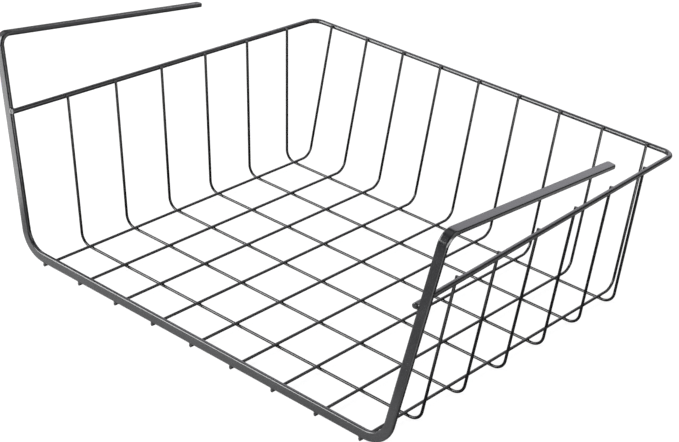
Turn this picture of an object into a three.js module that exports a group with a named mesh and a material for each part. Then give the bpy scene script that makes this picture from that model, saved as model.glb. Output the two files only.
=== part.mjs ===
// Under shelf basket: a welded wire basket that hangs from a shelf board by two flat arms.
// Millimetres, +Z up. The open front faces -Y and X runs across the basket.
// Heights are first measured from the plane where the two layers of wires cross.
import * as THREE from 'three';

// Thin wires of the mesh
const wireRadius = 1.1;
const wirePitch = 40;
const wireCount = 9;
const wireBendRadius = 10;
const wireNub = 0.2;
const wireTipRise = 2;
const wireChamfer = 0.3;
const crossPitch = 47.5;
const crossCount = 6;
const crossTipRise = 0.8;

// Walls: how far their floor corners stand past the last wire, and how far the back one leans
const sideMargin = 11.8;
const backMargin = 16.6;
const backLeanShare = 0.157;

// Rim
const rimRadius = 2;
const rimHeight = 118.3;
const rimBendRadius = 9;
const rimNub = 0.5;
const rimChamfer = 0.4;
const rimTaperShare = 0.036;

// Flat strip of the hanger frame
const stripWidth = 7.7;
const stripThickness = 3.4;
const stripEdgeRadius = 1.2;
const uprightStandoff = 7.5;
const uprightLeanShare = 0.188;
const barBendRadius = 20;
const armBendRadius = 7;
const armHeight = 174.6;
const armLength = 199.5;
const armDropShare = 0.098;
const armInsetShare = 0.047;
const armTiltShare = 0.105;
const armEndRadius = 2;

// Film of coating that keeps two welded pieces apart
const weldGap = 0.3;

// Steps of the round forms
const bendSteps = 6;
const wireSides = 12;
const rimSides = 16;
const stripCornerSteps = 4;
const endSteps = 4;

// Look of the baked coating
const coatColour = 0x2b2c2f;
const coatRoughness = 0.42;
const coatMetalness = 0.15;

const quarterTurn = Math.PI / 2;
const up = new THREE.Vector3(0, 0, 1);
const across = new THREE.Vector3(1, 0, 0);
const back = new THREE.Vector3(0, 1, 0);

// Heights of the stacked layers: cross wires, front-to-back wires, bar
const crossZ = -(wireRadius + weldGap / 2);
const wireZ = wireRadius + weldGap / 2;
const barZ = wireZ + wireRadius + weldGap + stripWidth / 2;

// Floor corners of the walls, taken where the straight legs of a wire would meet
const sideCorner = ((wireCount - 1) / 2) * wirePitch + sideMargin;
const backCorner = crossCount * crossPitch + backMargin;

// Upright's middle line, and the rim that is welded along its inner edge
const uprightFoot = sideCorner + uprightStandoff;
const uprightAt = (z) => uprightFoot + uprightLeanShare * (z - barZ);
const uprightToRim = stripWidth / 2 + weldGap + rimRadius;
const rimFront = uprightAt(rimHeight) - uprightToRim * Math.hypot(1, uprightLeanShare);
const rimAt = (y) => rimFront - rimTaperShare * y;

// Wall wires stand against the inner side of the rim and end a little above its middle line
const wireToRim = wireRadius + weldGap + rimRadius;
const wireTipZ = rimHeight + wireTipRise;
const crossTipZ = rimHeight + crossTipRise;
const backWallAt = (z) => backCorner + backLeanShare * (z - wireZ);
const rimBack = backWallAt(rimHeight) + wireToRim * Math.hypot(1, backLeanShare);

/**
 * Centreline of a bar or wire, given as rings: one where each straight leg ends and a few
 * round each bend. Each ring has a point, a tangent, the direction of the section's width,
 * and the shares of the full width and depth that the section has there.
 */
class BentLine extends THREE.Curve {
  constructor(rings) {
    super();
    this.rings = rings;
  }

  getSpacedPoints() {
    return this.rings.map((ring) => ring.point.clone());
  }

  computeFrenetFrames() {
    const tangents = this.rings.map((ring) => ring.tangent);
    const normals = this.rings.map((ring) => ring.width.clone().multiplyScalar(ring.widthShare));
    const binormals = this.rings.map((ring) => new THREE.Vector3()
      .crossVectors(ring.tangent, ring.width)
      .multiplyScalar(ring.depthShare));
    return { tangents, normals, binormals };
  }
}

/**
 * Rings along straight legs between corners, with a round bend at each inner corner. The
 * section keeps its place in a bend, or twists evenly there towards the given new width.
 */
function bentRings(corners, bends, startWidth) {
  let direction = corners[1].clone().sub(corners[0]).normalize();
  let width = startWidth.clone().projectOnPlane(direction).normalize();
  const rings = [];
  const addRing = (point, tangent, ringWidth) => {
    rings.push({ point, tangent, width: ringWidth, widthShare: 1, depthShare: 1 });
  };
  addRing(corners[0].clone(), direction, width);
  bends.forEach(({ radius, newWidth }, index) => {
    const corner = corners[index + 1];
    const onward = corners[index + 2].clone().sub(corner).normalize();
    const angle = direction.angleTo(onward);
    const axis = new THREE.Vector3().crossVectors(direction, onward).normalize();
    const inward = new THREE.Vector3().crossVectors(axis, direction);
    const centre = corner.clone()
      .addScaledVector(direction, -radius * Math.tan(angle / 2))
      .addScaledVector(inward, radius);
    const carried = width.clone().applyAxisAngle(axis, angle);
    const wanted = newWidth ? newWidth.clone().projectOnPlane(onward).normalize() : carried;
    const twistShare = new THREE.Vector3().crossVectors(carried, wanted).dot(onward);
    const twist = Math.asin(twistShare);
    for (let step = 0; step <= bendSteps; step += 1) {
      const share = step / bendSteps;
      const spoke = inward.clone().applyAxisAngle(axis, angle * share);
      const tangent = direction.clone().applyAxisAngle(axis, angle * share);
      const ringWidth = width.clone()
        .applyAxisAngle(axis, angle * share)
        .applyAxisAngle(tangent, twist * share);
      addRing(centre.clone().addScaledVector(spoke, -radius), tangent, ringWidth);
    }
    direction = onward;
    width = rings.at(-1).width;
  });
  addRing(corners.at(-1).clone(), direction, width);
  return rings;
}

/** Replaces the last ring by a run of narrowing ones, from the inside out to the end. */
function closeTail(rings, steps) {
  const tip = rings.pop();
  steps.forEach(({ inset, widthShare, depthShare }) => {
    const point = tip.point.clone().addScaledVector(tip.tangent, -inset);
    rings.push({ ...tip, point, widthShare, depthShare });
  });
}

/** The same rings walked the other way. */
function turnedRound(rings) {
  return rings.map((ring) => ({ ...ring, tangent: ring.tangent.clone().negate() })).reverse();
}

/** The whole of a symmetric piece from its right half, which starts on the middle plane. */
function bothHalves(half) {
  const mirror = (vector) => vector.clone().setX(-vector.x);
  const right = half.slice(1);
  const left = turnedRound(right.map((ring) => ({
    ...ring,
    point: mirror(ring.point),
    tangent: mirror(ring.tangent),
    width: mirror(ring.width),
  })));
  return [...left, ...right];
}

/** Small flat chamfer round the cut end of a round wire. */
function chamferSteps(radius, chamfer) {
  const endShare = (radius - chamfer) / radius;
  return [
    { inset: chamfer, widthShare: 1, depthShare: 1 },
    { inset: 0, widthShare: endShare, depthShare: endShare },
  ];
}

/** Quarter-round corners at the square end of a flat arm. */
function armEndSteps() {
  const halfWidth = stripWidth / 2;
  return Array.from({ length: endSteps + 1 }, (_, step) => {
    const turn = quarterTurn * (step / endSteps);
    const inset = armEndRadius * (1 - Math.sin(turn));
    const narrow = armEndRadius * (1 - Math.cos(turn));
    return { inset, widthShare: (halfWidth - narrow) / halfWidth, depthShare: 1 };
  });
}

/** Round section. */
function roundSection(radius) {
  return new THREE.Shape().absarc(0, 0, radius, 0, quarterTurn * 4);
}

/** Flat section with rounded edges: x is its width and y its thickness. */
function stripSection() {
  const x = stripWidth / 2 - stripEdgeRadius;
  const y = stripThickness / 2 - stripEdgeRadius;
  const section = new THREE.Shape();
  section.absarc(x, -y, stripEdgeRadius, -quarterTurn, 0);
  section.absarc(x, y, stripEdgeRadius, 0, quarterTurn);
  section.absarc(-x, y, stripEdgeRadius, quarterTurn, quarterTurn * 2);
  section.absarc(-x, -y, stripEdgeRadius, quarterTurn * 2, quarterTurn * 3);
  return section;
}

const basket = new THREE.Group();

/** Sweeps a section along the rings and adds the piece to the basket. */
function addPiece(name, section, sectionSteps, rings) {
  const geometry = new THREE.ExtrudeGeometry(section, {
    steps: rings.length - 1,
    curveSegments: sectionSteps / 2,
    bevelEnabled: false,
    extrudePath: new BentLine(rings),
  });
  const material = new THREE.MeshStandardMaterial({
    color: coatColour,
    roughness: coatRoughness,
    metalness: coatMetalness,
  });
  const piece = new THREE.Mesh(geometry, material);
  piece.name = name;
  basket.add(piece);
}

// Hanger frame: bar, hard-way bend, leaning upright, easy-way bend, arm
const uprightTop = new THREE.Vector3(uprightAt(armHeight), 0, armHeight);
const frameCorners = [
  new THREE.Vector3(0, 0, barZ),
  new THREE.Vector3(uprightFoot, 0, barZ),
  uprightTop,
  uprightTop.clone().add(new THREE.Vector3(-armInsetShare, 1, -armDropShare).multiplyScalar(armLength)),
];
const frameBends = [
  { radius: barBendRadius },
  { radius: armBendRadius, newWidth: new THREE.Vector3(-1, 0, armTiltShare) },
];
const frameHalf = bentRings(frameCorners, frameBends, up);
closeTail(frameHalf, armEndSteps());
addPiece('hanger_frame', stripSection(), stripCornerSteps, bothHalves(frameHalf));

// Rim: back leg, corner, side leg running forward past the upright
const rimEnd = -(stripThickness / 2 + rimNub);
const rimCorners = [
  new THREE.Vector3(0, rimBack, rimHeight),
  new THREE.Vector3(rimAt(rimBack), rimBack, rimHeight),
  new THREE.Vector3(rimAt(rimEnd), rimEnd, rimHeight),
];
const rimHalf = bentRings(rimCorners, [{ radius: rimBendRadius }], up);
closeTail(rimHalf, chamferSteps(rimRadius, rimChamfer));
addPiece('rim_wire', roundSection(rimRadius), rimSides, bothHalves(rimHalf));

// Front-to-back wires: under the bar, along the floor, up the back wall
for (let index = 0; index < wireCount; index += 1) {
  const x = (index - (wireCount - 1) / 2) * wirePitch;
  const corners = [
    new THREE.Vector3(x, -(stripThickness / 2 + wireNub), wireZ),
    new THREE.Vector3(x, backCorner, wireZ),
    new THREE.Vector3(x, backWallAt(wireTipZ), wireTipZ),
  ];
  const rings = bentRings(corners, [{ radius: wireBendRadius }], across);
  closeTail(rings, chamferSteps(wireRadius, wireChamfer));
  const fromTip = turnedRound(rings);
  closeTail(fromTip, chamferSteps(wireRadius, wireChamfer));
  addPiece(`front_to_back_wire_${index + 1}`, roundSection(wireRadius), wireSides, fromTip);
}

// Cross wires: up one side wall, under the front-to-back wires, up the other side wall
for (let index = 0; index < crossCount; index += 1) {
  const y = (index + 1) * crossPitch;
  const rise = rimHeight - crossZ;
  const firstLean = (rimAt(y) - wireToRim - sideCorner) / rise;
  const lean = (rimAt(y) - wireToRim * Math.hypot(1, firstLean, rimTaperShare) - sideCorner) / rise;
  const corners = [
    new THREE.Vector3(0, y, crossZ),
    new THREE.Vector3(sideCorner, y, crossZ),
    new THREE.Vector3(sideCorner + lean * (crossTipZ - crossZ), y, crossTipZ),
  ];
  const half = bentRings(corners, [{ radius: wireBendRadius }], back);
  closeTail(half, chamferSteps(wireRadius, wireChamfer));
  addPiece(`cross_wire_${index + 1}`, roundSection(wireRadius), wireSides, bothHalves(half));
}

// Stand the basket on the floor, over the middle of its footprint
const bounds = new THREE.Box3().setFromObject(basket);
const middle = bounds.getCenter(new THREE.Vector3());
basket.children.forEach((piece) => piece.geometry.translate(-middle.x, -middle.y, -bounds.min.z));

export default basket;
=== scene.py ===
"""Looks of the under shelf basket: coated bars and wires, their welds, and the studio."""
import math
from typing import NamedTuple

import bpy
import numpy as np
from mathutils import Matrix, Vector


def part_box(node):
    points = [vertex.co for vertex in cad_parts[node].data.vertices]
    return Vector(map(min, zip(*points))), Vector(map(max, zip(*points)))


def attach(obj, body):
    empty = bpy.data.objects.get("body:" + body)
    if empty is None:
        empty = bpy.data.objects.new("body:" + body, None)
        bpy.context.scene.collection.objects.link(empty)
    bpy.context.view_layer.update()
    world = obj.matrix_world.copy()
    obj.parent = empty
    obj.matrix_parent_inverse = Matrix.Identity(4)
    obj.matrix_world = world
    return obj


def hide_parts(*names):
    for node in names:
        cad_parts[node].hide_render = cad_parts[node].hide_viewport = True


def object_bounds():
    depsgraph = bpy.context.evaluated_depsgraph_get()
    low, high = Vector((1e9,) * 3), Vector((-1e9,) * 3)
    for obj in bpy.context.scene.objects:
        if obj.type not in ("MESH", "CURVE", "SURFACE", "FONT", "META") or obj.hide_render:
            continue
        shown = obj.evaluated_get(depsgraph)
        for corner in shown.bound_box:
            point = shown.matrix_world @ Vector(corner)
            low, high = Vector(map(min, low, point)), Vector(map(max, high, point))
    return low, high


bl_info = {
    "name": "Under Shelf Basket",
    "version": (1, 0, 0),
    "blender": (4, 5, 0),
    "location": "3D View > Sidebar > Basket",
    "description": "Builds the coated wire basket, its welds and a studio for it",
    "category": "Add Mesh",
}

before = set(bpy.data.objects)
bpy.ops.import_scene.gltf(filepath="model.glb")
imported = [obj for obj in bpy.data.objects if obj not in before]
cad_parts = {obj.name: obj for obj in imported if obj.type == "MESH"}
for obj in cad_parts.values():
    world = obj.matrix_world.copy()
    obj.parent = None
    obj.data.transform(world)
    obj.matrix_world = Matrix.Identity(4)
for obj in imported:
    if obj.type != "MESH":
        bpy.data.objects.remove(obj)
SOLID_BOX = [list(corner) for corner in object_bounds()]
BODY = "root"

UP = np.array([0.0, 0.0, 1.0])
ACROSS = np.array([1.0, 0.0, 0.0])
BACK = np.array([0.0, 1.0, 0.0])
MIRROR = np.array([-1.0, 1.0, 1.0])


# Sizes and colours that a user would change

def kind_of(property_type, **settings):
    """A short way to write one kind of property."""
    def written(name, default, description):
        return property_type(name=name, default=default, description=description, **settings)

    return written


length = kind_of(bpy.props.FloatProperty, unit="LENGTH", precision=5)
share = kind_of(bpy.props.FloatProperty)
number = kind_of(bpy.props.IntProperty)
turning = kind_of(bpy.props.FloatProperty, subtype="ANGLE")
lens_length = kind_of(bpy.props.FloatProperty, subtype="DISTANCE_CAMERA")
point = kind_of(bpy.props.FloatVectorProperty, subtype="TRANSLATION")
colour = kind_of(bpy.props.FloatVectorProperty, subtype="COLOR", min=0, max=1)


class BasketSizes(bpy.types.PropertyGroup):
    """Sizes of the basket, the same as those of its solids."""

    wire_radius: length("Wire radius", 0.0011, "Radius of the thin wires")
    wire_pitch: length("Wire pitch", 0.04, "Distance between front-to-back wires")
    wire_count: number("Wire count", 9, "Number of front-to-back wires")
    wire_bend: length("Wire bend", 0.01, "Middle radius of a thin wire's bend")
    wire_nub: length("Wire nub", 0.0002, "How far a wire's end stands in front of the bar")
    wire_rise: length("Wire rise", 0.002, "Height of a back wire's tip over the rim's middle")
    wire_chamfer: length("Wire chamfer", 0.0003, "Softened edge at a thin wire's cut end")
    cross_pitch: length("Cross pitch", 0.0475, "Distance between cross wires")
    cross_count: number("Cross count", 6, "Number of cross wires")
    cross_rise: length("Cross rise", 0.0008, "Height of a cross wire's tip over the rim's middle")
    side_margin: length("Side margin", 0.0118, "Side wall's foot past the last wire")
    back_margin: length("Back margin", 0.0166, "Back wall's foot past the last cross wire")
    back_lean: share("Back lean", 0.157, "How far the back wall leans for each unit of height")
    rim_radius: length("Rim radius", 0.002, "Radius of the rim wire")
    rim_height: length("Rim height", 0.1183, "Height of the rim over the crossing plane")
    rim_bend: length("Rim bend", 0.009, "Middle radius of the rim's corners")
    rim_nub: length("Rim nub", 0.0005, "How far the rim's ends stand in front of the uprights")
    rim_chamfer: length("Rim chamfer", 0.0004, "Softened edge at the rim's cut ends")
    rim_taper: share("Rim taper", 0.036, "How far each side draws in for each unit of depth")
    strip_width: length("Strip width", 0.0077, "Width of the flat strip")
    strip_thickness: length("Strip thickness", 0.0034, "Thickness of the flat strip")
    strip_edge: length("Strip edge", 0.0012, "Radius of the strip's rounded edges")
    standoff: length("Upright standoff", 0.0075, "Upright's foot past the side wall's foot")
    upright_lean: share("Upright lean", 0.188, "How far an upright leans for each unit of height")
    bar_bend: length("Bar bend", 0.02, "Middle radius of the bends across the strip's width")
    arm_bend: length("Arm bend", 0.007, "Middle radius of the bends across its thickness")
    arm_height: length("Arm height", 0.1746, "Height at which upright and arm would meet")
    arm_length: length("Arm length", 0.1995, "Length of an arm along the basket's depth")
    arm_drop: share("Arm drop", 0.098, "How far an arm falls for each unit of depth")
    arm_inset: share("Arm inset", 0.047, "How far an arm draws in for each unit of depth")
    arm_tilt: share("Arm tilt", 0.105, "Sideways tilt of an arm's face")
    arm_end: length("Arm end", 0.002, "Radius of the corners at an arm's end")
    weld_gap: length("Weld gap", 0.0003, "Film between two welded pieces")


class BasketDetail(bpy.types.PropertyGroup):
    """Sizes of what only the dressed basket shows."""

    leg_step: length("Leg step", 0.003, "Distance between rings on a straight leg")
    bend_step: length("Bend step", 0.0008, "Distance between rings in a bend")
    wire_sides: number("Wire sides", 16, "Faces round a thin wire")
    rim_sides: number("Rim sides", 24, "Faces round the rim wire")
    edge_steps: number("Edge steps", 6, "Faces round each edge of the strip")
    end_steps: number("End steps", 6, "Rings round the edge of a cut end")
    floor_fillet: length("Floor fillet", 0.0012, "Reach of the metal at a floor crossing")
    tip_fillet: length("Tip fillet", 0.0014, "Reach of the metal at a wire's tip")
    bar_fillet: length("Bar fillet", 0.0024, "Reach of the metal under the bar")
    upright_fillet: length("Upright fillet", 0.0026, "Reach of the bead at an upright")


class BasketLook(bpy.types.PropertyGroup):
    """Colours of the baked coating and of the studio."""

    coat_deep: colour("Deep coat", (0.0125, 0.0128, 0.0142), "Coating where it lies thick")
    coat_thin: colour("Thin coat", (0.0235, 0.0240, 0.0262), "Coating where it lies thin")
    coat_worn: colour("Thinnest coat", (0.0400, 0.0405, 0.0425), "Coating on the rim's crown")
    wire_deep: colour("Deep coat on wires", (0.0055, 0.0056, 0.0062), "Wire coating, thick")
    wire_thin: colour("Thin coat on wires", (0.0125, 0.0127, 0.0138), "Wire coating, thin")
    roughness: share("Roughness", 0.21, "Middle roughness of the coating")
    dust: colour("Dust", (0.075, 0.075, 0.078), "Fine dust grains held in the coating")
    backdrop: colour("Backdrop", (1.0, 1.0, 1.0), "Floor and background as the camera sees them")
    dark_room: share("Dark room", 0.08, "Light of the room behind the lamps, in reflections")


# Shader maths

class Signal:
    """A socket in a node tree. Python's operators on it add Math nodes."""

    def __init__(self, finish, socket):
        self.finish = finish
        self.socket = socket

    def maths(self, operation, *others):
        return self.finish.node("ShaderNodeMath", {"operation": operation}, self, *others)

    def __add__(self, other):
        return self.maths("ADD", other)

    def __sub__(self, other):
        return self.maths("SUBTRACT", other)

    def __rsub__(self, other):
        return self.finish.node("ShaderNodeMath", {"operation": "SUBTRACT"}, other, self)

    def __mul__(self, other):
        return self.maths("MULTIPLY", other)

    def __abs__(self):
        return self.maths("ABSOLUTE")

    __radd__ = __add__
    __rmul__ = __mul__

    def above(self, low, high):
        """0 below low, 1 above high and an even, soft rise between them."""
        ramp = {"interpolation_type": "SMOOTHSTEP"}
        return self.finish.node("ShaderNodeMapRange", ramp, self, low, high)

    def within(self, low, high, *fall):
        """The same rise, and a soft fall between two more places where they are given."""
        rise = self.above(low, high)
        return rise * (1.0 - self.above(*fall)) if fall else rise


class Finish:
    """The node tree of a material or of the world. Its nodes are all added by one method."""

    def __init__(self, tree):
        self.tree = tree
        self.tree.nodes.clear()

    def node(self, kind, settings, *values, output=0, **named):
        """Adds a node: settings first, then the values or links of its sockets. Returns the
        output that is asked for by its name or number."""
        added = self.tree.nodes.new(kind)
        for key, value in settings.items():
            setattr(added, key, value)
        sockets = [item for item in added.inputs if item.enabled]
        pairs = list(zip(sockets, values))
        pairs += [(added.inputs[key.replace("_", " ")], value) for key, value in named.items()]
        for socket, value in pairs:
            if isinstance(value, Signal):
                self.tree.links.new(value.socket, socket)
            else:
                socket.default_value = value
        return Signal(self, added.outputs[output]) if added.outputs else None

    def noise(self, place, scale, detail=2.0):
        """Soft noise from 0 to 1, with its waves at the given number for each metre."""
        return self.node(
            "ShaderNodeTexNoise", {}, Vector=place, Scale=scale, Detail=detail)

    def stretch(self, place, factors):
        """The place with each of its axes multiplied by a number."""
        return self.node("ShaderNodeVectorMath", {"operation": "MULTIPLY"}, place, factors)

    def shown(self, surface, of="Material"):
        """Ends the tree of a material, or of the world, with what it shows."""
        self.node(f"ShaderNodeOutput{of}", {}, Surface=surface)

    def mix(self, factor, first, second):
        """Colour between two others."""
        return self.node(
            "ShaderNodeMix", {"data_type": "RGBA"}, factor, first, second, output=2)

    def place(self):
        """The shaded point in the object's own axes."""
        return self.node("ShaderNodeTexCoord", {}, output="Object")

    def reach(self, place, direction):
        """How far a place lies along a direction."""
        along = {"operation": "DOT_PRODUCT"}
        return self.node("ShaderNodeVectorMath", along, place, direction, output="Value")


def fresh_finish(name):
    """The material of a name, and a finish that fills its node tree anew."""
    material = bpy.data.materials.get(name) or bpy.data.materials.new(name)
    material.use_nodes = True
    return material, Finish(material.node_tree)


def rgba(values):
    return (*values, 1.0)


def grey(level):
    return (level, level, level, 1.0)


# Baked coating: waves for each metre, rises of the noises and what each does to the coat

CLOUD_WAVES = 55.0
CLOUD_RISE = (0.35, 0.70)
CLOUD_THINNING = 0.45
CLOUD_DULLING = 0.1
SKIN_RISE = (0.45, 0.75)
SKIN_THINNING = 0.2
GRAIN_WAVES = 3600.0
GRAIN_HEIGHT = 0.06
DRAW_WAVES = 2600.0
DRAW_STRETCH = (1.0, 1.0, 0.012)
DRAW_RISE = (0.5, 0.8)
DRAW_THINNING = 0.12
EDGE_THINNING = 0.35
EDGE_CLOUDS = 0.3
DUST_WAVES = 240.0
DUST_GRAIN = (0.03, 0.06)
DUST_PATCH_WAVES = 90.0
DUST_PATCH_RISE = (0.62, 0.68)
DUST_HEIGHT = 0.6
DUST_TINT = 0.5
DUST_DULLING = 0.2
COAT_SHINE = 0.05
THIN_SHINE = 0.03

# Coats: deep and thin colour, height and waves of the orange-peel skin, height of draw lines
COATS = {
    "strip": ("coat_deep", "coat_thin", 0.00006, 620.0, 0.25),
    "rim": ("coat_thin", "coat_worn", 0.00005, 700.0, 0.3),
    "wire": ("wire_deep", "wire_thin", 0.00003, 900.0, 0.35),
    "welds": ("wire_deep", "coat_thin", 0.00005, 1100.0, 0.0),
}


def coating(kind, look, edges=None):
    """Baked coating of one kind of piece: deep and thin colour in clouds, an orange-peel skin,
    fine grain, draw lines along the stock, a thinner coat at the strip's edges, between two
    distances from its middle, and a few dust grains."""
    deep, pale, peel, peel_waves, draw_height = COATS[kind]
    material, finish = fresh_finish(f"baked_coat_on_{kind}")
    place = finish.place()
    clouds = finish.noise(place, CLOUD_WAVES, detail=3.0)
    skin = finish.noise(place, peel_waves, detail=1.5)
    thin = clouds.above(*CLOUD_RISE) * CLOUD_THINNING + skin.above(*SKIN_RISE) * SKIN_THINNING
    height = skin + finish.noise(place, GRAIN_WAVES) * GRAIN_HEIGHT
    if draw_height:
        stock = finish.node("ShaderNodeAttribute", {"attribute_name": "stock"}, output="Vector")
        lines = finish.noise(finish.stretch(stock, DRAW_STRETCH), DRAW_WAVES)
        height = height + lines * draw_height
        thin = thin + lines.above(*DRAW_RISE) * DRAW_THINNING
        if edges:
            edge = abs(finish.reach(stock, ACROSS)).above(*edges)
            thin = thin + edge * (EDGE_THINNING + clouds * EDGE_CLOUDS)
    grains = finish.node(
        "ShaderNodeTexVoronoi", {"feature": "F1"}, Vector=place, Scale=DUST_WAVES, Randomness=1.0)
    patches = finish.noise(place, DUST_PATCH_WAVES, detail=0.0).above(*DUST_PATCH_RISE)
    dust = (1.0 - grains.above(*DUST_GRAIN)) * patches
    tint = finish.mix(thin, rgba(getattr(look, deep)), rgba(getattr(look, pale)))
    tint = finish.mix(dust * DUST_TINT, tint, rgba(look.dust))
    rough = look.roughness - COAT_SHINE + clouds * CLOUD_DULLING
    rough = rough + dust * DUST_DULLING - thin * THIN_SHINE
    bump = finish.node(
        "ShaderNodeBump", {}, Strength=1.0, Distance=peel, Height=height + dust * DUST_HEIGHT)
    shader = finish.node(
        "ShaderNodeBsdfPrincipled", {}, Base_Color=tint, Roughness=rough, Normal=bump)
    finish.shown(shader)
    return material


# Bars and wires: a section carried along a bent line

LEAST_BEND_STEPS = 8
EASED_SHARE = 1 / 6
TAIL_CLEARANCE = 1.02
FLAT_SIDE_SHARES = (0.04, 0.2, 0.5, 0.8, 0.96)
BOX_TOLERANCE = 0.0003
SMALLEST_BEND = 1e-9


class Rings(NamedTuple):
    """One row for each ring of a bent bar: its place, its direction, the direction of the
    section's width, the bend there (pointing inwards, one over the radius) and the shares of
    the full width and depth."""

    place: np.ndarray
    direction: np.ndarray
    width: np.ndarray
    bend: np.ndarray
    shares: np.ndarray

    def pick(self, rows):
        return Rings(*(column[rows] for column in self))

    def joined(self, after):
        return Rings(*(np.concatenate(pair) for pair in zip(self, after)))

    def turned_round(self):
        turned = self.pick(slice(None, None, -1))
        return turned._replace(direction=-turned.direction)

    def mirrored(self):
        *vectors, shares = self
        return Rings(*(vector * MIRROR for vector in vectors), shares)

    def both_halves(self):
        """The whole symmetric bar, from its right half that starts on the middle plane."""
        right = self.pick(slice(1, None))
        return right.mirrored().turned_round().joined(self)

    def along(self):
        """Distance of each ring from the first, along the line."""
        steps = np.linalg.norm(np.diff(self.place, axis=0), axis=1)
        return np.concatenate([[0.0], np.cumsum(steps)])

    def closed_tail(self, insets, shares):
        """The rings with the last one replaced by narrowing ones, at insets from the tip."""
        tip = self.pick([-1] * len(insets))
        tip = tip._replace(place=tip.place - tip.direction * insets[:, None], shares=shares)
        left = self.along()[-1] - self.along()
        return self.pick(left > insets.max() * TAIL_CLEARANCE).joined(tip)


def unit(vector):
    return vector / np.linalg.norm(vector)


def round_angles(sides):
    """Angles of evenly spaced points round a circle."""
    return np.arange(sides) * (math.tau / sides)


def circle(angles):
    """Points (cos a, sin a)."""
    return np.stack([np.cos(angles), np.sin(angles)], axis=-1)


def turn(vector, axis, angles):
    """Rows of a vector turned about an axis:
    v cos a + (axis x v) sin a + axis (axis . v) (1 - cos a)."""
    cosine = np.cos(angles)[:, None]
    sine = np.sin(angles)[:, None]
    along = (vector * axis).sum(-1, keepdims=True)
    return vector * cosine + np.cross(axis, vector) * sine + axis * along * (1 - cosine)


def square_to(direction, vector):
    """The unit vector at right angles to a direction that points most nearly like another."""
    return unit(vector - direction * (vector @ direction))


def bent_line(corners, bends, width, detail):
    """Straight legs between corners with a round bend at each inner corner. In a bend of radius
    R and angle a, the ring at share s is at centre - R * inward, with inward, direction and
    width turned about the bend's axis by s * a, and the width twisted by s * the twist. The
    bend fades in and out over the eased share at its ends."""
    corners = [np.array(corner, float) for corner in corners]
    direction = unit(corners[1] - corners[0])
    width = square_to(direction, width)
    whole = None
    start = corners[0]
    for index, (radius, new_width) in enumerate(bends):
        corner = corners[index + 1]
        onward = unit(corners[index + 2] - corner)
        angle = math.acos(direction @ onward)
        axis = unit(np.cross(direction, onward))
        inward = np.cross(axis, direction)
        centre = corner - direction * radius * math.tan(angle / 2) + inward * radius
        leg = straight_leg(start, centre - inward * radius, direction, width, detail.leg_step)
        whole = leg if whole is None else whole.joined(leg)
        carried = turn(width, axis, np.array([angle]))[0]
        wanted = carried if new_width is None else square_to(onward, new_width)
        twist = math.asin(np.cross(carried, wanted) @ onward)
        steps = max(LEAST_BEND_STEPS, round(radius * angle / detail.bend_step))
        shares = np.linspace(0, 1, steps + 1)
        turned = (turn(line, axis, angle * shares) for line in (inward, direction, width))
        spokes, directions, widths = turned
        sway = (twist * shares)[:, None]
        widths = widths * np.cos(sway) + np.cross(directions, widths) * np.sin(sway)
        eased = np.clip(np.minimum(shares, 1 - shares) / EASED_SHARE, 0, 1)[:, None]
        full = np.ones((steps + 1, 2))
        bend = Rings(centre - spokes * radius, directions, widths, spokes / radius * eased, full)
        whole = whole.joined(bend.pick(slice(None, -1)))
        start = bend.place[-1]
        width = bend.width[-1]
        direction = onward
    leg = straight_leg(start, corners[-1], direction, width, detail.leg_step)
    tip = leg.pick([-1])._replace(place=corners[-1][None])
    return whole.joined(leg).joined(tip)


def straight_leg(start, end, direction, width, step):
    """Evenly spaced rings from start up to, but without, end."""
    steps = max(1, round(np.linalg.norm(end - start) / step))
    shares = np.arange(steps)[:, None] / steps
    rows = np.ones((steps, 1))
    place = start + (end - start) * shares
    return Rings(place, rows * direction, rows * width, np.zeros((steps, 3)), np.ones((steps, 2)))


def round_section(radius, sides):
    """Circle: radius * (cos a, sin a)."""
    return radius * circle(round_angles(sides))


def strip_section(sizes, detail):
    """Flat section: four quarter circles at the corners, joined by straight sides that have a
    few points of their own, so that the sides stay flat and can bulge in a bend."""
    edge = sizes.strip_edge
    middle = np.array([sizes.strip_width / 2 - edge, sizes.strip_thickness / 2 - edge])
    signs = np.array([[1, -1], [1, 1], [-1, 1], [-1, -1]])
    quarter = np.linspace(0, math.pi / 2, detail.edge_steps + 1)
    turns = (np.arange(4)[:, None] - 1) * (math.pi / 2)
    arcs = (signs * middle)[:, None] + edge * circle(turns + quarter)
    shares = np.array(FLAT_SIDE_SHARES)[:, None]
    ends = arcs[:, -1:]
    sides = ends + (np.roll(arcs, -1, axis=0)[:, :1] - ends) * shares
    return np.concatenate([arcs, sides], axis=1).reshape(-1, 2)


def round_end(radius, soft, steps):
    """Insets and shares of a cut wire's softened edge: inset = soft (1 - sin t) and radius less
    soft (1 - cos t), for t from 0 to a right angle."""
    angle = np.linspace(0, math.pi / 2, steps + 1)
    narrow = 1 - soft * (1 - np.cos(angle)) / radius
    return soft * (1 - np.sin(angle)), np.column_stack([narrow, narrow])


def strip_end(sizes, steps):
    """Insets and shares at an arm's end: quarter circles at its two corners, and a softened
    edge over the last stretch of its thickness."""
    half_width = sizes.strip_width / 2
    half_depth = sizes.strip_thickness / 2
    soft = sizes.strip_edge / 2
    angle = np.linspace(0, math.pi / 2, 2 * steps + 1)
    inset = sizes.arm_end * (1 - np.sin(angle))
    narrow = sizes.arm_end * (1 - np.cos(angle))
    near = np.clip(soft - inset, 0, soft)
    thin = soft - np.sqrt(soft ** 2 - near ** 2)
    return inset, np.column_stack([1 - narrow / half_width, 1 - thin / half_depth])


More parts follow.
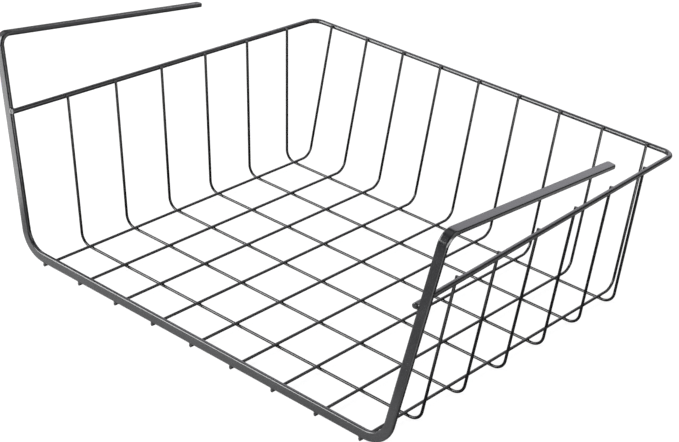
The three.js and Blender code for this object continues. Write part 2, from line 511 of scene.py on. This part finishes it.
def swept(rings, section):
    """Grid of points: ring's place + x * width + y * (direction x width). In a bend the part of
    the offset that stands across the bend's plane grows by half of its strain, so the strip
    swells at the inside of the bend and thins at its outside. Returns the grid and the place
    of each point in the straight stock before it was bent."""
    offset = section[None] * rings.shares[:, None]
    depth = np.cross(rings.direction, rings.width)
    bend = np.stack([(rings.bend * rings.width).sum(1), (rings.bend * depth).sum(1)], axis=1)
    size = np.linalg.norm(bend, axis=1, keepdims=True)
    inward = bend / np.maximum(size, SMALLEST_BEND)
    sideways = np.stack([-inward[:, 1], inward[:, 0]], axis=1)[:, None]
    strain = (offset * bend[:, None]).sum(-1, keepdims=True)
    reach = (offset * sideways).sum(-1, keepdims=True)
    formed = offset + sideways * reach * strain / 2
    grid = rings.place[:, None] + formed[..., :1] * rings.width[:, None]
    grid = grid + formed[..., 1:] * depth[:, None]
    along = np.broadcast_to(rings.along()[:, None, None], (*offset.shape[:2], 1))
    return grid, np.concatenate([offset, along], axis=-1)


def ring_faces(rows, columns):
    """Quads between the rings of a grid that closes on itself, each point's number in its ring
    and the number of the point after it."""
    row = np.arange(rows - 1)[:, None] * columns
    here = np.arange(columns)
    after = (here + 1) % columns
    below = row + columns
    quads = np.stack([row + here, below + here, below + after, row + after], axis=-1)
    return quads.reshape(-1, 4), here, after


def fan(pole, first, second):
    """Triangles from one point to pairs of others."""
    return np.column_stack([np.full(len(first), pole), first, second])


def closed_faces(rings, sides):
    """Faces of a grid of rings, and fans that close its two ends round two more points."""
    quads, here, after = ring_faces(rings, sides)
    last = (rings - 1) * sides
    pole = rings * sides
    fans = [fan(pole, here, after), fan(pole + 1, last + after, last + here)]
    return quads, np.concatenate(fans)


def tube_mesh(grid):
    """Points and faces of a closed tube from its grid of rings."""
    points = np.concatenate([grid.reshape(-1, 3), grid[:1].mean(1), grid[-1:].mean(1)])
    quads, triangles = closed_faces(*grid.shape[:2])
    return points, quads[:, [0, 3, 2, 1]], triangles[:, [0, 2, 1]]


def make_object(name, points, quads, triangles, material):
    """A smooth mesh object at the origin, with its place in its mesh."""
    mesh = bpy.data.meshes.new(name)
    mesh.from_pydata(points.tolist(), [], quads.tolist() + triangles.tolist())
    mesh.polygons.foreach_set("use_smooth", np.ones(len(mesh.polygons), bool))
    mesh.materials.append(material)
    mesh.validate()
    made = bpy.data.objects.new(name, mesh)
    bpy.context.scene.collection.objects.link(made)
    return made


def make_bar(node, rings, section, material):
    """Sweeps a bar, puts it in place of its solid and makes sure that it fills the same box."""
    grid, stock = swept(rings, section)
    points, quads, triangles = tube_mesh(grid)
    made = make_object(node + "_coated", points, quads, triangles, material)
    middles = stock[[0, -1], 0] * UP
    straight = made.data.attributes.new("stock", "FLOAT_VECTOR", "POINT")
    straight.data.foreach_set("vector", np.concatenate([stock.reshape(-1, 3), middles]).ravel())
    solid = np.array([list(corner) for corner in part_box(node)])
    dressed = np.array([points.min(0), points.max(0)])
    if np.abs(solid - dressed).max() > BOX_TOLERANCE:
        raise RuntimeError(f"{node} misses its solid: {solid.tolist()} {dressed.tolist()}")
    dress(made)
    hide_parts(node)


def dress(made):
    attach(made, BODY)


# Derived places, as in the solids: heights are measured from the crossing plane

class Layout:
    """Places that follow from the sizes. The last shift stands the basket on the floor."""

    def __init__(self, sizes):
        self.sizes = sizes
        self.cross_z = -(sizes.wire_radius + sizes.weld_gap / 2)
        self.wire_z = -self.cross_z
        self.bar_z = self.wire_z + sizes.wire_radius + sizes.weld_gap + sizes.strip_width / 2
        self.side = self.wire_places()[-1] + sizes.side_margin
        self.back = self.cross_places()[-1] + sizes.back_margin
        self.foot = self.side + sizes.standoff
        to_rim = sizes.strip_width / 2 + sizes.weld_gap + sizes.rim_radius
        slant = math.hypot(1, sizes.upright_lean)
        self.rim_front = self.upright(sizes.rim_height) - to_rim * slant
        self.rim_end = -(sizes.strip_thickness / 2 + sizes.rim_nub)
        self.rim_line = np.array([-sizes.rim_taper, 1, 0])
        self.wire_front = -(sizes.strip_thickness / 2 + sizes.wire_nub)
        self.wire_to_rim = sizes.wire_radius + sizes.weld_gap + sizes.rim_radius
        slant = math.hypot(1, sizes.back_lean)
        self.rim_back = self.back_wall(sizes.rim_height) + self.wire_to_rim * slant
        self.wire_tip = sizes.rim_height + sizes.wire_rise
        self.cross_tip = sizes.rim_height + sizes.cross_rise
        solid = np.array(SOLID_BOX)
        rim_top = self.rim_back + sizes.rim_radius
        self.shift = np.array([0.0, solid[1, 1] - rim_top, sizes.wire_radius - self.cross_z])

    def upright(self, height):
        return self.foot + self.sizes.upright_lean * (height - self.bar_z)

    def back_wall(self, height):
        return self.back + self.sizes.back_lean * (height - self.wire_z)

    def rim(self, depth):
        return self.rim_front - self.sizes.rim_taper * depth

    def wire_places(self):
        sizes = self.sizes
        return (np.arange(sizes.wire_count) - (sizes.wire_count - 1) / 2) * sizes.wire_pitch

    def cross_places(self):
        return (np.arange(self.sizes.cross_count) + 1) * self.sizes.cross_pitch

    def side_lean(self, depth):
        """How far a side wall leans at a depth, so that its wire just clears the rim."""
        sizes = self.sizes
        rise = sizes.rim_height - self.cross_z
        first = (self.rim(depth) - self.wire_to_rim - self.side) / rise
        clear = self.wire_to_rim * math.hypot(1, first, sizes.rim_taper)
        return (self.rim(depth) - clear - self.side) / rise

    def settle(self, rings):
        return rings._replace(place=rings.place + self.shift)


# Welds: a skin of metal that runs from one piece into the other, with shares of its reach

EVEN_SINK_SHARE = 0.02
SINK_START_SHARE = 1.05
SINK_SLOPE = 0.7
SEARCH_SHARE = 3.0
SEARCH_MARKS = 61
HALVINGS = 14


def round_bar(point, direction, radius, tip=None):
    """Distance from a round bar: distance from its middle line less its radius. A bar that ends
    at a tip is cut off there."""
    direction = unit(np.array(direction, float))

    def distance(place):
        offset = place - point
        along = (offset * direction).sum(-1)
        around = np.linalg.norm(offset - along[..., None] * direction, axis=-1) - radius
        if tip is None:
            return around
        beyond = ((place - tip) * direction).sum(-1)
        return np.maximum(around, beyond)

    return distance


def flat_bar(point, width, depth, sizes):
    """Distance from the flat strip: that from its inner rectangle, less the edge radius."""
    half = np.array([sizes.strip_width, sizes.strip_thickness]) / 2 - sizes.strip_edge

    def distance(place):
        offset = place - point
        flat = np.stack([(offset * width).sum(-1), (offset * depth).sum(-1)], axis=-1)
        past = np.abs(flat) - half
        outside = np.linalg.norm(np.maximum(past, 0), axis=-1)
        return outside + np.minimum(past.max(-1), 0) - sizes.strip_edge

    return distance


def ball(steep, sides):
    """Grid of unit rays: (sin s cos a, sin s sin a, cos s), with s from upright, a round it."""
    steep, about = np.broadcast_arrays(np.array(steep)[:, None], round_angles(sides))
    level = np.sin(steep)
    return np.stack([level * np.cos(about), level * np.sin(about), np.cos(steep)], axis=-1)


def weld_skin(centre, first, second, reach, rows, columns):
    """Closed skin round a joint: along each ray from its centre, the first point where the two
    distances, blended over the reach, are zero: min(d1, d2) - reach / 4 * overlap ^ 2, with
    overlap = 1 - |d1 - d2| / reach. Past the reach the skin sinks under both pieces."""
    rays = ball(np.linspace(0, math.pi, rows + 1)[1:-1], columns)
    rays = np.concatenate([rays.reshape(-1, 3), [UP, -UP]])

    def skin(distance):
        place = centre + rays * distance[..., None]
        one = first(place)
        two = second(place)
        overlap = np.maximum(reach - np.abs(one - two), 0) / reach
        past = np.maximum(distance - SINK_START_SHARE * reach, 0)
        sink = EVEN_SINK_SHARE * reach + SINK_SLOPE * past
        return np.minimum(one, two) - overlap ** 2 * reach / 4 + sink

    marks = np.linspace(0, SEARCH_SHARE * reach, SEARCH_MARKS)[:, None] * np.ones(len(rays))
    leaves = np.argmax(skin(marks) > 0, axis=0)
    if leaves.min() == 0:
        raise RuntimeError("a weld does not close")
    low = marks[leaves - 1, 0]
    high = marks[leaves, 0]
    for _ in range(HALVINGS):
        middle = (low + high) / 2
        out = skin(middle) > 0
        low = np.where(out, low, middle)
        high = np.where(out, middle, high)
    return centre + rays * low[:, None], *closed_faces(rows - 1, columns)


def moved_skin(skin, shift):
    points, quads, triangles = skin
    return points + shift, quads, triangles


def mirrored_skin(skin):
    """The same skin on the other side, with its faces turned so that they still look out."""
    points, quads, triangles = skin
    return points * MIRROR, quads[:, ::-1], triangles[:, ::-1]


def make_welds(name, skins, look):
    """One object that holds many closed skins."""
    points, quads, triangles = zip(*skins)
    starts = np.cumsum([0, *map(len, points[:-1])])
    quads = np.concatenate([faces + start for faces, start in zip(quads, starts)])
    triangles = np.concatenate([faces + start for faces, start in zip(triangles, starts)])
    material = coating("welds", look)
    dress(make_object(name, np.concatenate(points), quads, triangles, material))


# Operators: one for each piece or group of pieces

def scene_parts(context):
    """The basket's properties and the places that follow from its sizes."""
    scene = context.scene
    sizes = scene.basket_sizes
    return sizes, scene.basket_detail, scene.basket_look, Layout(sizes)


def thin_wire(sizes, detail, look):
    """Coating and section of a thin wire, and the insets and shares of its cut ends."""
    section = round_section(sizes.wire_radius, detail.wire_sides)
    end = round_end(sizes.wire_radius, sizes.wire_chamfer, detail.end_steps)
    return coating("wire", look), section, end


class BASKET_OT_hanger_frame(bpy.types.Operator):
    """Flat strip bent into bar, uprights and arms"""

    bl_idname = "basket.hanger_frame"
    bl_label = "Hanger Frame"

    def execute(self, context):
        sizes, detail, look, layout = scene_parts(context)
        top = np.array([layout.upright(sizes.arm_height), 0, sizes.arm_height])
        arm = np.array([-sizes.arm_inset, 1, -sizes.arm_drop]) * sizes.arm_length
        corners = [(0, 0, layout.bar_z), (layout.foot, 0, layout.bar_z), top, top + arm]
        tilted = np.array([-1, 0, sizes.arm_tilt])
        bends = [(sizes.bar_bend, None), (sizes.arm_bend, tilted)]
        half = bent_line(corners, bends, UP, detail)
        half = half.closed_tail(*strip_end(sizes, detail.end_steps))
        edges = (sizes.strip_width / 2 - sizes.strip_edge, sizes.strip_width / 2)
        material = coating("strip", look, edges)
        rings = layout.settle(half.both_halves())
        make_bar("hanger_frame", rings, strip_section(sizes, detail), material)
        return {"FINISHED"}


class BASKET_OT_rim_wire(bpy.types.Operator):
    """Thick round wire that runs round the sides and the back"""

    bl_idname = "basket.rim_wire"
    bl_label = "Rim Wire"

    def execute(self, context):
        sizes, detail, look, layout = scene_parts(context)
        height = sizes.rim_height
        corners = [
            (0, layout.rim_back, height),
            (layout.rim(layout.rim_back), layout.rim_back, height),
            (layout.rim(layout.rim_end), layout.rim_end, height),
        ]
        half = bent_line(corners, [(sizes.rim_bend, None)], UP, detail)
        half = half.closed_tail(*round_end(sizes.rim_radius, sizes.rim_chamfer, detail.end_steps))
        section = round_section(sizes.rim_radius, detail.rim_sides)
        make_bar("rim_wire", layout.settle(half.both_halves()), section, coating("rim", look))
        return {"FINISHED"}


class BASKET_OT_front_to_back_wires(bpy.types.Operator):
    """Thin wires from under the bar, along the floor and up the back wall"""

    bl_idname = "basket.front_to_back_wires"
    bl_label = "Front-to-Back Wires"

    def execute(self, context):
        sizes, detail, look, layout = scene_parts(context)
        material, section, end = thin_wire(sizes, detail, look)
        for index, x in enumerate(layout.wire_places()):
            corners = [
                (x, layout.wire_front, layout.wire_z),
                (x, layout.back, layout.wire_z),
                (x, layout.back_wall(layout.wire_tip), layout.wire_tip),
            ]
            rings = bent_line(corners, [(sizes.wire_bend, None)], ACROSS, detail)
            rings = rings.closed_tail(*end).turned_round().closed_tail(*end)
            make_bar(f"front_to_back_wire_{index + 1}", layout.settle(rings), section, material)
        return {"FINISHED"}


class BASKET_OT_cross_wires(bpy.types.Operator):
    """Thin wires up one side wall, under the others and up the other side wall"""

    bl_idname = "basket.cross_wires"
    bl_label = "Cross Wires"

    def execute(self, context):
        sizes, detail, look, layout = scene_parts(context)
        material, section, end = thin_wire(sizes, detail, look)
        for index, y in enumerate(layout.cross_places()):
            out = layout.side_lean(y) * (layout.cross_tip - layout.cross_z)
            corners = [
                (0, y, layout.cross_z),
                (layout.side, y, layout.cross_z),
                (layout.side + out, y, layout.cross_tip),
            ]
            half = bent_line(corners, [(sizes.wire_bend, None)], BACK, detail).closed_tail(*end)
            rings = layout.settle(half.both_halves())
            make_bar(f"cross_wire_{index + 1}", rings, section, material)
        return {"FINISHED"}


class BASKET_OT_floor_welds(bpy.types.Operator):
    """Small fillets where the two layers of floor wires cross"""

    bl_idname = "basket.floor_welds"
    bl_label = "Floor Welds"

    def execute(self, context):
        sizes, detail, look, layout = scene_parts(context)
        lower = round_bar((0, 0, layout.cross_z), ACROSS, sizes.wire_radius)
        upper = round_bar((0, 0, layout.wire_z), BACK, sizes.wire_radius)
        skin = weld_skin(np.zeros(3), lower, upper, detail.floor_fillet, rows=16, columns=24)
        skins = [
            moved_skin(skin, layout.shift + ACROSS * x + BACK * y)
            for x in layout.wire_places()
            for y in layout.cross_places()
        ]
        make_welds("floor_weld_fillets", skins, look)
        return {"FINISHED"}


class BASKET_OT_rim_welds(bpy.types.Operator):
    """Fillets where the tips of the wall wires meet the rim"""

    bl_idname = "basket.rim_welds"
    bl_label = "Rim Welds"

    def execute(self, context):
        sizes, detail, look, layout = scene_parts(context)
        height = sizes.rim_height
        middle = sizes.wire_radius + sizes.weld_gap / 2
        skins = []

        def tip_skin(near, rise, tip, outward, rim):
            wire = round_bar(near, rise, sizes.wire_radius, tip)
            centre = near + outward * middle
            skin = weld_skin(centre, wire, rim, detail.tip_fillet, rows=20, columns=28)
            return moved_skin(skin, layout.shift)

        rise = np.array([0, sizes.back_lean, 1])
        outward = unit(np.array([0, 1, -sizes.back_lean]))
        rim = round_bar((0, layout.rim_back, height), ACROSS, sizes.rim_radius)
        for x in layout.wire_places():
            tip = np.array([x, layout.back_wall(layout.wire_tip), layout.wire_tip])
            near = np.array([x, layout.rim_back, height]) - outward * layout.wire_to_rim
            skins.append(tip_skin(near, rise, tip, outward, rim))
        for y in layout.cross_places():
            lean = layout.side_lean(y)
            rise = np.array([lean, 0, 1])
            outward = unit(np.array([1, sizes.rim_taper, -lean]))
            rim = round_bar((layout.rim(y), y, height), layout.rim_line, sizes.rim_radius)
            near = np.array([layout.side + lean * (height - layout.cross_z), y, height])
            tip = near + rise * sizes.cross_rise
            skin = tip_skin(near, rise, tip, outward, rim)
            skins += [skin, mirrored_skin(skin)]
        make_welds("rim_weld_fillets", skins, look)
        return {"FINISHED"}


class BASKET_OT_bar_welds(bpy.types.Operator):
    """Fillets where the front-to-back wires pass under the bar"""

    bl_idname = "basket.bar_welds"
    bl_label = "Bar Welds"

    def execute(self, context):
        sizes, detail, look, layout = scene_parts(context)
        bar = flat_bar((0, 0, layout.bar_z), UP, BACK, sizes)
        tip = np.array([0, layout.wire_front, layout.wire_z])
        wire = round_bar((0, 0, layout.wire_z), -BACK, sizes.wire_radius, tip)
        centre = np.array([0, 0, layout.wire_z + sizes.wire_radius + sizes.weld_gap / 2])
        skin = weld_skin(centre, wire, bar, detail.bar_fillet, rows=16, columns=28)
        skins = [moved_skin(skin, layout.shift + ACROSS * x) for x in layout.wire_places()]
        make_welds("bar_weld_fillets", skins, look)
        return {"FINISHED"}


class BASKET_OT_upright_welds(bpy.types.Operator):
    """Beads that join the rim's two front ends to the uprights"""

    bl_idname = "basket.upright_welds"
    bl_label = "Upright Welds"

    def execute(self, context):
        sizes, detail, look, layout = scene_parts(context)
        height = sizes.rim_height
        outward = unit(np.array([1, 0, -sizes.upright_lean]))
        upright = flat_bar((layout.upright(height), 0, height), outward, BACK, sizes)
        tip = np.array([layout.rim(layout.rim_end), layout.rim_end, height])
        near = np.array([layout.rim(0), 0, height])
        rim = round_bar(near, -layout.rim_line, sizes.rim_radius, tip)
        centre = near + outward * (sizes.rim_radius + sizes.weld_gap / 2)
        skin = weld_skin(centre, rim, upright, detail.upright_fillet, rows=28, columns=40)
        skin = moved_skin(skin, layout.shift)
        make_welds("upright_weld_beads", [skin, mirrored_skin(skin)], look)
        return {"FINISHED"}


# Studio: a pale floor and world, lamps, and a dark room, a painted floor reflection and a black
# sheet that only gloss sees

STUDIO_HEART = Vector((0.0, 0.0, 0.09))
ROUND_SIDES = 64
TABLE_RINGS = 12
INNERMOST_SHARE = 0.05
FLOOR_RADIUS = 4.0
PAINTED_FLOOR_RADIUS = 3.7
PAINTED_FLOOR_HEIGHT = 0.0001
ROOM_RADIUS = 3.6
ROOM_RINGS = 24
ROOM_FOOT_DEGREES = 86.0
ROOM_TOP_DEGREES = 0.5
FLAG_ACROSS = (-0.09, 0.30)
FLAG_UP = (0.19, 0.95)
FLAG_FRONT = -0.5

# Greys and strengths of the floor, the world and the black card
PAPER_WAVES = 9.0
PAPER_DARK = 0.78
PAPER_PALE = 0.82
SHADED_GREY = 0.16
FLOOR_GLOW = 0.9
WORLD_LIGHT = 0.25
BLACK_CARD = 0.004

# Glowing panels of painted light on the dark room, seen only in reflections: direction, shares of
# its radius at the soft edge, and light
GLOWING_ROOM_PANELS = {
    "right": ((0.88, 0.34, 0.33), 0.86, 0.97, 1.9),
    "back": ((0.0, 0.70, 0.71), 0.88, 0.98, 0.3),
    "left": ((-0.75, 0.0, 0.66), 0.90, 0.97, 0.8),
    "overhead": ((0.0, 0.0, 1.0), 0.87, 0.95, 0.7),
}
ROOM_BRIGHTEST = 4.0

# Painted patches of light on the floor as only gloss sees it: edges to the right and ahead of the
# basket's middle, and light
PAINTED_FLOOR_PATCHES = {
    "before the right upright": ((-0.06, 0.02), (0.15, 0.19, 0.42, 0.50), 0.48),
    "right of the camera": ((0.40, 0.48), (-0.12, -0.02, 0.45, 0.55), 8.0),
    "behind the right wall": ((0.22, 0.28), (-4.0, -3.8, -0.20, -0.05), 0.8),
    "before the right corner": ((0.21, 0.26, 0.36, 0.42), (0.14, 0.18, 0.30, 0.36), 1.5),
}
# Painted shade: the floor in reflections stays this dark outside the painted pools and patches of
# light
PAINTED_FLOOR_SHADE = 0.1
PAINTED_FLOOR_BRIGHTEST = 10.0
# Painted pool of light on the floor just before the bar, brighter to the left
PAINTED_BAR_POOL_AHEAD = (0.162, 0.1645, 0.19, 0.26)
PAINTED_BAR_POOL_ENDS = (0.20, 0.26)
PAINTED_BAR_POOL_LIGHT = 0.98
PAINTED_BAR_POOL_GAIN_TO_LEFT = 2.3
# Painted pool of light on the floor at the front left, with a slanting edge
LEFT_POOL_DIRECTION = (-0.788, 0.616, 0.0)
LEFT_POOL_PAST = (0.060, 0.076)
LEFT_POOL_LEFT = (0.19, 0.22)
LEFT_POOL_AHEAD = (0.14, 0.18, 0.42, 0.50)
LEFT_POOL_LIGHT = 4.2


def seen_as_backdrop(finish):
    """1 for the rays that show the background: from the camera, in gloss or through glass."""
    names = ("Is Camera Ray", "Is Glossy Ray", "Is Transmission Ray")
    rays = [finish.node("ShaderNodeLightPath", {}, output=name) for name in names]
    return rays[0].maths("MAXIMUM", rays[1]).maths("MAXIMUM", rays[2])


def softbox(name, direction, distance, size, brightness, tint=(1, 1, 1)):
    """Rectangular lamp that faces the basket. Its power is 4 * brightness * area."""
    lamp = bpy.data.lights.new(name, "AREA")
    lamp.shape = "RECTANGLE"
    lamp.size, lamp.size_y = size
    lamp.energy = 4 * brightness * size[0] * size[1]
    lamp.color = tint
    made = bpy.data.objects.new(name, lamp)
    away = Vector(direction).normalized()
    made.location = STUDIO_HEART + away * distance
    made.rotation_euler = away.to_track_quat("Z", "Y").to_euler()
    made.visible_camera = False
    bpy.context.scene.collection.objects.link(made)


def painted_glow_material(name, brightest, light):
    """Material that glows as painted light, by what light(finish, place) gives, up to the
    brightest level.
    """
    material, finish = fresh_finish(name)
    unlit = finish.node("ShaderNodeEmission", {}, Color=grey(0), Strength=0.0)
    bright = finish.node("ShaderNodeEmission", {}, Color=grey(1), Strength=brightest)
    level = light(finish, finish.place()) * (1 / brightest)
    finish.shown(finish.node("ShaderNodeMixShader", {}, level, unlit, bright))
    return material


def painted_floor_light(finish, place):
    """Painted light and shade of the floor as only gloss sees it: painted shade over the whole
    ground, a painted pool of light along the bar, which is brighter to the left, a painted pool
    of light with a slanting edge at the left, and the painted patches of light. Edges say where a
    patch begins and is full and, in a second pair, where it fades and ends."""
    right = finish.reach(place, ACROSS)
    left = finish.reach(place, -ACROSS)
    ahead = finish.reach(place, -BACK)
    painted_bar_pool = ahead.within(*PAINTED_BAR_POOL_AHEAD) * (1.0 - abs(right).above(*PAINTED_BAR_POOL_ENDS))
    light = painted_bar_pool * (left * PAINTED_BAR_POOL_GAIN_TO_LEFT + PAINTED_BAR_POOL_LIGHT) + PAINTED_FLOOR_SHADE
    left_pool = finish.reach(place, LEFT_POOL_DIRECTION).above(*LEFT_POOL_PAST)
    left_pool = left_pool * left.above(*LEFT_POOL_LEFT) * ahead.within(*LEFT_POOL_AHEAD)
    light = light + left_pool * LEFT_POOL_LIGHT
    for right_edges, ahead_edges, strength in PAINTED_FLOOR_PATCHES.values():
        # Each painted patch of light on the floor, seen only in gloss
        card = right.within(*right_edges) * ahead.within(*ahead_edges)
        light = light + card * strength
    return light


def floor_material(look):
    """Paper-white floor. Where it is the background it glows, and a grey part keeps the
    basket's shadow."""
    material, finish = fresh_finish("pale_floor")
    mottle = finish.noise(finish.place(), PAPER_WAVES, detail=3.0)
    paper = finish.mix(mottle, grey(PAPER_DARK), grey(PAPER_PALE))
    lit = finish.node("ShaderNodeBsdfDiffuse", {}, Color=paper)
    shaded = finish.node("ShaderNodeBsdfDiffuse", {}, Color=grey(SHADED_GREY))
    glow = finish.node("ShaderNodeEmission", {}, Color=rgba(look.backdrop), Strength=FLOOR_GLOW)
    shown = finish.node("ShaderNodeAddShader", {}, glow, shaded)
    finish.shown(finish.node("ShaderNodeMixShader", {}, seen_as_backdrop(finish), lit, shown))
    return material


def stage_piece(name, points, quads, triangles, material, gloss_only=True):
    """A piece of the studio. Only glossy rays see one that is for gloss only."""
    made = make_object(name, points, quads, triangles, material)
    if gloss_only:
        for rays in ("camera", "diffuse", "shadow", "transmission"):
            setattr(made, f"visible_{rays}", False)


def round_table(name, radius, height, material, gloss_only=True):
    """Flat disc: grid point = radius * share * (cos a, sin a), at one height."""
    shares = np.linspace(INNERMOST_SHARE, 1, TABLE_RINGS)[:, None, None]
    flat = radius * shares * circle(round_angles(ROUND_SIDES))
    grid = np.pad(flat, [(0, 0), (0, 0), (0, 1)], constant_values=height)
    points = np.concatenate([grid.reshape(-1, 3), [UP * height]])
    quads, here, after = ring_faces(TABLE_RINGS, ROUND_SIDES)
    triangles = fan(TABLE_RINGS * ROUND_SIDES, here, after)
    stage_piece(name, points, quads, triangles, material, gloss_only)


def make_dark_room(look):
    """Dark shell behind the lamps with glowing panels of painted light, a painted reflection that
    only shows in gloss:
    grid point = radius * ball, from a low edge to the top. Its degrees are measured from upright."""
    steep = np.radians(np.linspace(ROOM_FOOT_DEGREES, ROOM_TOP_DEGREES, ROOM_RINGS))
    grid = ROOM_RADIUS * ball(steep, ROUND_SIDES)
    points = np.concatenate([grid.reshape(-1, 3), [UP * ROOM_RADIUS]])
    quads, here, after = ring_faces(ROOM_RINGS, ROUND_SIDES)
    last = (ROOM_RINGS - 1) * ROUND_SIDES
    triangles = fan(ROOM_RINGS * ROUND_SIDES, last + here, last + after)

    def wall_light(finish, place):
        light = look.dark_room
        for direction, start_share, full_share, strength in GLOWING_ROOM_PANELS.values():
            panel = finish.reach(place, direction)
            panel = panel.above(start_share * ROOM_RADIUS, full_share * ROOM_RADIUS)
            light = panel * strength + light
        return light

    material = painted_glow_material("dark_room_painted_reflection", ROOM_BRIGHTEST, wall_light)
    stage_piece("studio_dark_room", points, quads, triangles, material)


def make_flag():
    """Black card in front of the basket that keeps the key light off the right top bend's
    gloss: four corners in one upright plane. Only glossy rays see it."""
    left, right = FLAG_ACROSS
    low, high = FLAG_UP
    corners = [(left, low), (right, low), (right, high), (left, high)]
    points = np.array([(x, FLAG_FRONT, z) for x, z in corners])
    material, finish = fresh_finish("black_card")
    finish.shown(finish.node("ShaderNodeBsdfDiffuse", {}, Color=grey(BLACK_CARD)))
    no_triangles = np.zeros((0, 3), int)
    stage_piece("studio_flag", points, np.array([[0, 1, 2, 3]]), no_triangles, material)


def make_world(look):
    """White where it is the background, and a weak, even light otherwise."""
    world = bpy.data.worlds.new("studio_world")
    world.use_nodes = True
    finish = Finish(world.node_tree)
    plain = finish.node("ShaderNodeBackground", {}, Color=grey(1), Strength=WORLD_LIGHT)
    shown = finish.node("ShaderNodeBackground", {}, Color=rgba(look.backdrop), Strength=1.0)
    surface = finish.node("ShaderNodeMixShader", {}, seen_as_backdrop(finish), plain, shown)
    finish.shown(surface, of="World")
    bpy.context.scene.world = world


class StudioCamera(bpy.types.PropertyGroup):
    """Where the camera stands, where it looks, how it is turned and what it sees."""

    place: point("Place", (0.73751, -0.90465, 0.64480), "Place of the camera")
    target: point("Target", (0.04744, -0.06394, 0.08870), "Point in the picture's middle")
    roll: turning("Roll", math.radians(4.284), "Turn of the camera about its line of sight")
    lens: lens_length("Lens", 90.4515, "Focal length")
    sensor: lens_length("Sensor", 36.0, "Width of the sensor")
    nearest: length("Nearest", 0.01, "Distance from which the camera sees")


def make_camera(scene):
    """Camera at its place, turned towards its target and rolled about its line of sight."""
    setup = scene.studio_camera
    camera = bpy.data.objects.new("studio_camera", bpy.data.cameras.new("studio_camera"))
    camera.data.sensor_width = setup.sensor
    camera.data.lens = setup.lens
    camera.data.clip_start = setup.nearest
    place = Vector(setup.place)
    sight = (Vector(setup.target) - place).normalized()
    level = sight.cross(Vector(UP)).normalized()
    right = Matrix.Rotation(-setup.roll, 3, sight) @ level
    turned = Matrix((right, right.cross(sight), -sight)).transposed()
    camera.matrix_world = Matrix.Translation(place) @ turned.to_4x4()
    scene.collection.objects.link(camera)
    scene.camera = camera


class BASKET_OT_studio(bpy.types.Operator):
    """Pale floor and world, what the gloss reflects, soft lamps and the camera"""

    bl_idname = "basket.studio"
    bl_label = "Studio"

    def execute(self, context):
        scene = context.scene
        look = scene.basket_look
        # Painted reflection of the floor: pools and patches of painted light on painted shade,
        # seen only in gloss
        painted_floor_material = painted_glow_material("painted_floor_reflection", PAINTED_FLOOR_BRIGHTEST, painted_floor_light)
        round_table("studio_floor", FLOOR_RADIUS, 0.0, floor_material(look), gloss_only=False)
        round_table("studio_painted_floor_reflections", PAINTED_FLOOR_RADIUS, PAINTED_FLOOR_HEIGHT, painted_floor_material)
        make_dark_room(look)
        make_flag()
        make_world(look)
        softbox(
            "key_softbox", direction=(-0.62, -0.72, 0.33), distance=1.6, size=(1.3, 1.2),
            brightness=9.5)
        softbox(
            "back_softbox", direction=(-0.30, 0.81, 0.50), distance=1.7, size=(1.9, 1.3),
            brightness=1.25, tint=(0.94, 0.925, 1.0))
        make_camera(scene)
        scene.view_settings.view_transform = "Standard"
        return {"FINISHED"}


class BASKET_PT_sidebar(bpy.types.Panel):
    """Lists the basket's operators, sizes and colours, and the camera"""

    bl_idname = "BASKET_PT_sidebar"
    bl_label = "Under Shelf Basket"
    bl_space_type = "VIEW_3D"
    bl_region_type = "UI"
    bl_category = "Basket"

    def draw(self, context):
        column = self.layout.column()
        for operator in OPERATORS:
            column.operator(operator.bl_idname)
        for name, kind in GROUPS.items():
            column.label(text=kind.__doc__)
            for item in kind.__annotations__:
                column.prop(getattr(context.scene, name), item)


OPERATORS = (
    BASKET_OT_hanger_frame,
    BASKET_OT_rim_wire,
    BASKET_OT_front_to_back_wires,
    BASKET_OT_cross_wires,
    BASKET_OT_floor_welds,
    BASKET_OT_rim_welds,
    BASKET_OT_bar_welds,
    BASKET_OT_upright_welds,
    BASKET_OT_studio,
)
GROUPS = {
    "basket_sizes": BasketSizes,
    "basket_detail": BasketDetail,
    "basket_look": BasketLook,
    "studio_camera": StudioCamera,
}


def register():
    for kind in (*GROUPS.values(), *OPERATORS, BASKET_PT_sidebar):
        bpy.utils.register_class(kind)
    for name, kind in GROUPS.items():
        setattr(bpy.types.Scene, name, bpy.props.PointerProperty(type=kind))


def unregister():
    for name in GROUPS:
        delattr(bpy.types.Scene, name)
    for kind in (BASKET_PT_sidebar, *reversed(OPERATORS), *reversed(GROUPS.values())):
        bpy.utils.unregister_class(kind)


def main():
    register()
    bpy.ops.basket.hanger_frame()
    bpy.ops.basket.rim_wire()
    bpy.ops.basket.front_to_back_wires()
    bpy.ops.basket.cross_wires()
    bpy.ops.basket.floor_welds()
    bpy.ops.basket.rim_welds()
    bpy.ops.basket.bar_welds()
    bpy.ops.basket.upright_welds()
    bpy.ops.basket.studio()


if __name__ == "__main__":
    main()
